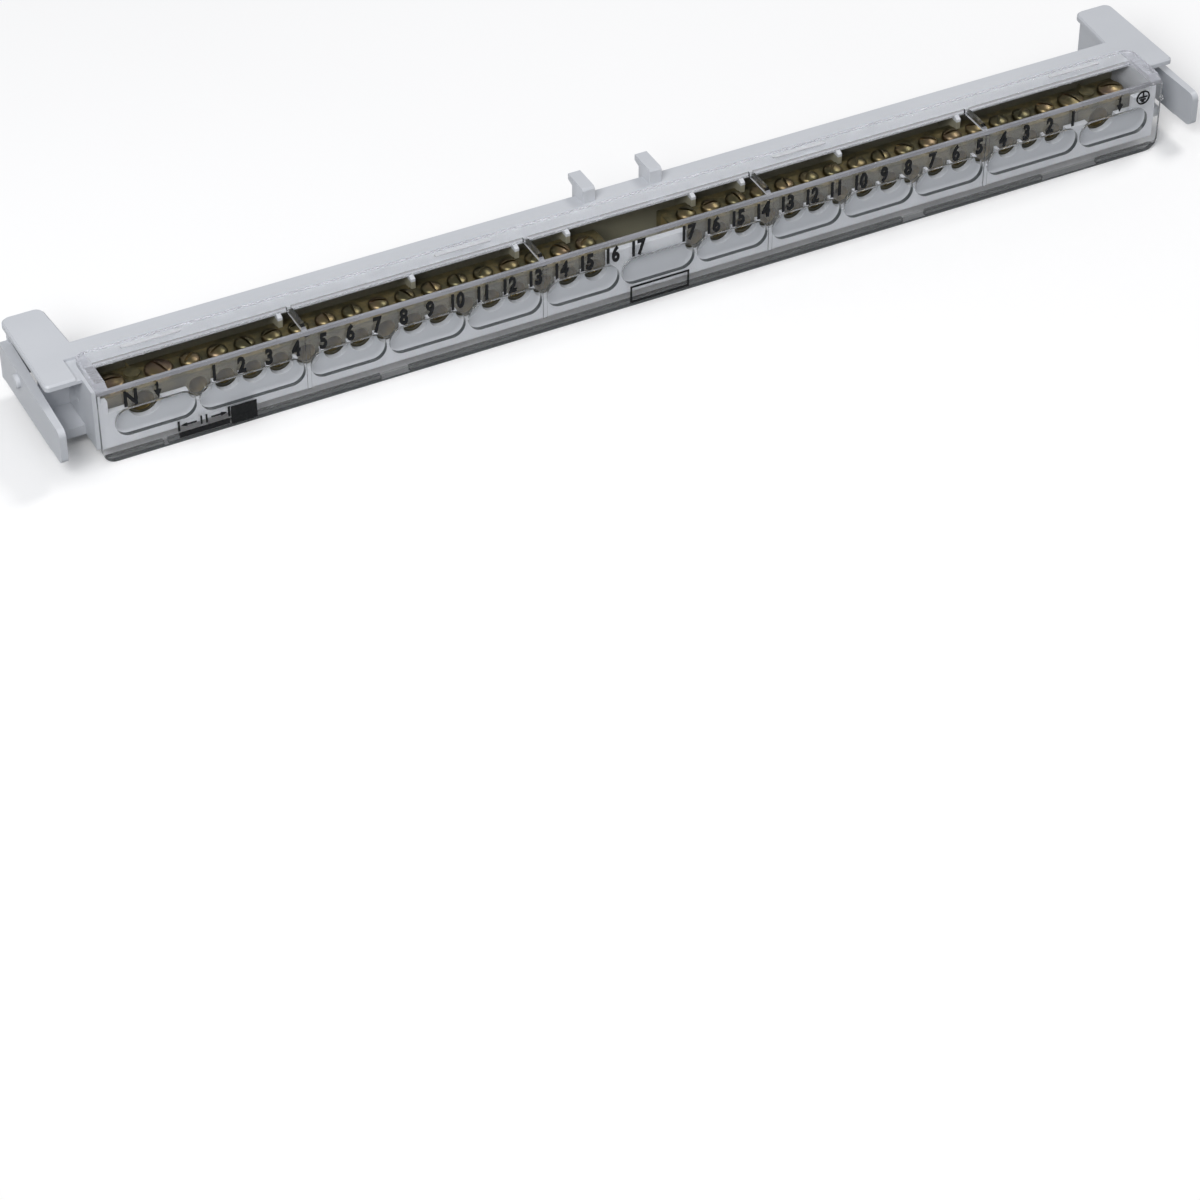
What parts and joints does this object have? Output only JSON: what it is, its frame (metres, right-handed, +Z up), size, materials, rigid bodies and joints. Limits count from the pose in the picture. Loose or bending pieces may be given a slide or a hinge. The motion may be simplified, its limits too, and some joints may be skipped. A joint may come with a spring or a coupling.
{
  "type": "terminal bar",
  "caption": "Long terminal bar for a distribution board: two brass bars with screw terminals in a grey carrier with snap brackets, under a clear windowed cover.",
  "frame": {"origin": "middle of the carrier's back edge, level with the top of its rear strip and of its end brackets", "axes": "+X along the bar to the earth end, +Y back into the board, +Z up; the wires enter from -Y"},
  "size_m": [0.2726, 0.036, 0.0216],
  "materials": {
    "grey_plastic": "light grey moulded plastic, satin",
    "clear_plastic": "clear moulded polycarbonate, gloss",
    "brass": "drawn brass, slightly dull",
    "passivated_steel": "yellow-passivated steel"
  },
  "bodies": {
    "root": {"carrier": "grey_plastic", "clear_cover": "clear_plastic", "neutral_bar": "brass", "neutral_screw_01": "passivated_steel", "neutral_screw_02": "passivated_steel", "neutral_screw_03": "passivated_steel", "neutral_screw_04": "passivated_steel", "neutral_screw_05": "passivated_steel", "neutral_screw_06": "passivated_steel", "neutral_screw_07": "passivated_steel", "neutral_screw_08": "passivated_steel", "neutral_screw_09": "passivated_steel", "neutral_screw_10": "passivated_steel", "neutral_screw_11": "passivated_steel", "neutral_screw_12": "passivated_steel", "neutral_screw_13": "passivated_steel", "neutral_screw_14": "passivated_steel", "neutral_screw_15": "passivated_steel", "neutral_screw_16": "passivated_steel", "neutral_large_screw_inner": "passivated_steel", "neutral_large_screw_outer": "passivated_steel", "earth_bar": "brass", "earth_screw_01": "passivated_steel", "earth_screw_02": "passivated_steel", "earth_screw_03": "passivated_steel", "earth_screw_04": "passivated_steel", "earth_screw_05": "passivated_steel", "earth_screw_06": "passivated_steel", "earth_screw_07": "passivated_steel", "earth_screw_08": "passivated_steel", "earth_screw_09": "passivated_steel", "earth_screw_10": "passivated_steel", "earth_screw_11": "passivated_steel", "earth_screw_12": "passivated_steel", "earth_screw_13": "passivated_steel", "earth_screw_14": "passivated_steel", "earth_screw_15": "passivated_steel", "earth_screw_16": "passivated_steel", "earth_large_screw_inner": "passivated_steel", "earth_large_screw_outer": "passivated_steel"}
  },
  "joints": []
}
